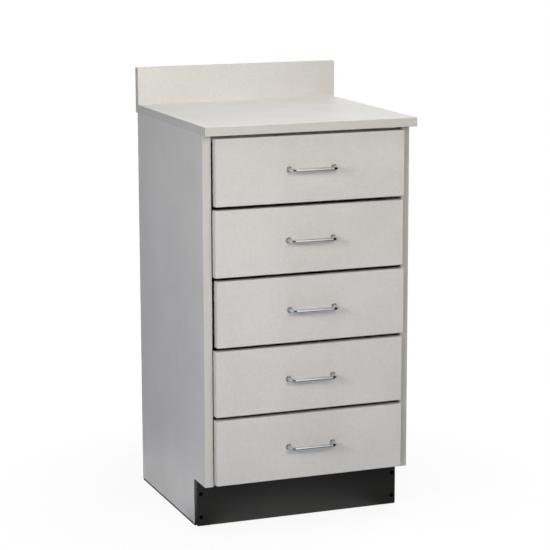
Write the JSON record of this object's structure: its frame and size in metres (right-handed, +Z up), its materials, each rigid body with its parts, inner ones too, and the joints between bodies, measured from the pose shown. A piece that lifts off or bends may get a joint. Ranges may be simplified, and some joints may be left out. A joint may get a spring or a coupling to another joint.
{
  "type": "drawer base cabinet",
  "caption": "Floor-standing clinic base cabinet: laminated board, stacked full-extension drawers with chrome wire pulls, worktop with backsplash, recessed black kick plate.",
  "frame": {"origin": "on the floor, under the middle of the overall width and of the overall depth, pulls and worktop included", "axes": "+Z up; the drawer fronts face -Y and the wall side faces +Y; +X is to the right of a person who faces the drawers"},
  "size_m": [0.478, 0.497, 0.966],
  "materials": {
    "cabinet_laminate": "warm grey melamine laminate on board, fine matt texture",
    "front_laminate": "warm grey melamine laminate on board, rounded edge band",
    "worktop_laminate": "warm grey high-pressure laminate, fine matt texture, square edges",
    "box_melamine": "white melamine-faced board",
    "back_board": "thin melamine-faced hardboard",
    "kick_board": "black laminated board",
    "beech": "plain beech dowel",
    "pull_chrome": "satin chrome plated rod",
    "slide_steel": "bright zinc plated steel",
    "zinc_steel": "zinc plated steel",
    "black_steel": "black oxide steel",
    "strip_pvc": "black extruded PVC, dull"
  },
  "bodies": {
    "cabinet": {"side_panel_left": "cabinet_laminate", "side_panel_right": "cabinet_laminate", "bottom_panel": "cabinet_laminate", "back_panel": "back_board", "top_rail_front": "box_melamine", "top_rail_back": "box_melamine", "carcass_dowels": "beech", "worktop": "worktop_laminate", "backsplash": "worktop_laminate", "worktop_screws": "zinc_steel", "kick_plate": "kick_board", "kick_plate_screws": "black_steel", "floor_strips": "strip_pvc", "slide_cabinet_members": "slide_steel", "slide_cabinet_screws": "zinc_steel"},
    "drawer_1": {"drawer_1_box_side_left": "box_melamine", "drawer_1_box_side_right": "box_melamine", "drawer_1_box_ends": "box_melamine", "drawer_1_box_bottom": "box_melamine", "drawer_1_slide_members": "slide_steel", "drawer_1_front": "front_laminate", "drawer_1_pull": "pull_chrome", "drawer_1_screws": "zinc_steel"},
    "slide_1": {"slide_1_middle_members": "slide_steel"},
    "drawer_2": {"drawer_2_box_side_left": "box_melamine", "drawer_2_box_side_right": "box_melamine", "drawer_2_box_ends": "box_melamine", "drawer_2_box_bottom": "box_melamine", "drawer_2_slide_members": "slide_steel", "drawer_2_front": "front_laminate", "drawer_2_pull": "pull_chrome", "drawer_2_screws": "zinc_steel"},
    "slide_2": {"slide_2_middle_members": "slide_steel"},
    "drawer_3": {"drawer_3_box_side_left": "box_melamine", "drawer_3_box_side_right": "box_melamine", "drawer_3_box_ends": "box_melamine", "drawer_3_box_bottom": "box_melamine", "drawer_3_slide_members": "slide_steel", "drawer_3_front": "front_laminate", "drawer_3_pull": "pull_chrome", "drawer_3_screws": "zinc_steel"},
    "slide_3": {"slide_3_middle_members": "slide_steel"},
    "drawer_4": {"drawer_4_box_side_left": "box_melamine", "drawer_4_box_side_right": "box_melamine", "drawer_4_box_ends": "box_melamine", "drawer_4_box_bottom": "box_melamine", "drawer_4_slide_members": "slide_steel", "drawer_4_front": "front_laminate", "drawer_4_pull": "pull_chrome", "drawer_4_screws": "zinc_steel"},
    "slide_4": {"slide_4_middle_members": "slide_steel"},
    "drawer_5": {"drawer_5_box_side_left": "box_melamine", "drawer_5_box_side_right": "box_melamine", "drawer_5_box_ends": "box_melamine", "drawer_5_box_bottom": "box_melamine", "drawer_5_slide_members": "slide_steel", "drawer_5_front": "front_laminate", "drawer_5_pull": "pull_chrome", "drawer_5_screws": "zinc_steel"},
    "slide_5": {"slide_5_middle_members": "slide_steel"}
  },
  "joints": [
    {"name": "drawer_1_travel", "type": "slide", "parent": "cabinet", "child": "drawer_1", "axis": [0, -1, 0], "range_m": [0, 0.39]},
    {"name": "drawer_2_travel", "type": "slide", "parent": "cabinet", "child": "drawer_2", "axis": [0, -1, 0], "range_m": [0, 0.39]},
    {"name": "drawer_3_travel", "type": "slide", "parent": "cabinet", "child": "drawer_3", "axis": [0, -1, 0], "range_m": [0, 0.39]},
    {"name": "drawer_4_travel", "type": "slide", "parent": "cabinet", "child": "drawer_4", "axis": [0, -1, 0], "range_m": [0, 0.39]},
    {"name": "drawer_5_travel", "type": "slide", "parent": "cabinet", "child": "drawer_5", "axis": [0, -1, 0], "range_m": [0, 0.39]},
    {"name": "slide_1_travel", "type": "slide", "parent": "cabinet", "child": "slide_1", "axis": [0, -1, 0], "range_m": [0, 0.195]},
    {"name": "slide_2_travel", "type": "slide", "parent": "cabinet", "child": "slide_2", "axis": [0, -1, 0], "range_m": [0, 0.195]},
    {"name": "slide_3_travel", "type": "slide", "parent": "cabinet", "child": "slide_3", "axis": [0, -1, 0], "range_m": [0, 0.195]},
    {"name": "slide_4_travel", "type": "slide", "parent": "cabinet", "child": "slide_4", "axis": [0, -1, 0], "range_m": [0, 0.195]},
    {"name": "slide_5_travel", "type": "slide", "parent": "cabinet", "child": "slide_5", "axis": [0, -1, 0], "range_m": [0, 0.195]}
  ],
  "couplings": [
    {"joint": "slide_1_travel", "follows": "drawer_1_travel", "ratio": 0.5},
    {"joint": "slide_2_travel", "follows": "drawer_2_travel", "ratio": 0.5},
    {"joint": "slide_3_travel", "follows": "drawer_3_travel", "ratio": 0.5},
    {"joint": "slide_4_travel", "follows": "drawer_4_travel", "ratio": 0.5},
    {"joint": "slide_5_travel", "follows": "drawer_5_travel", "ratio": 0.5}
  ]
}
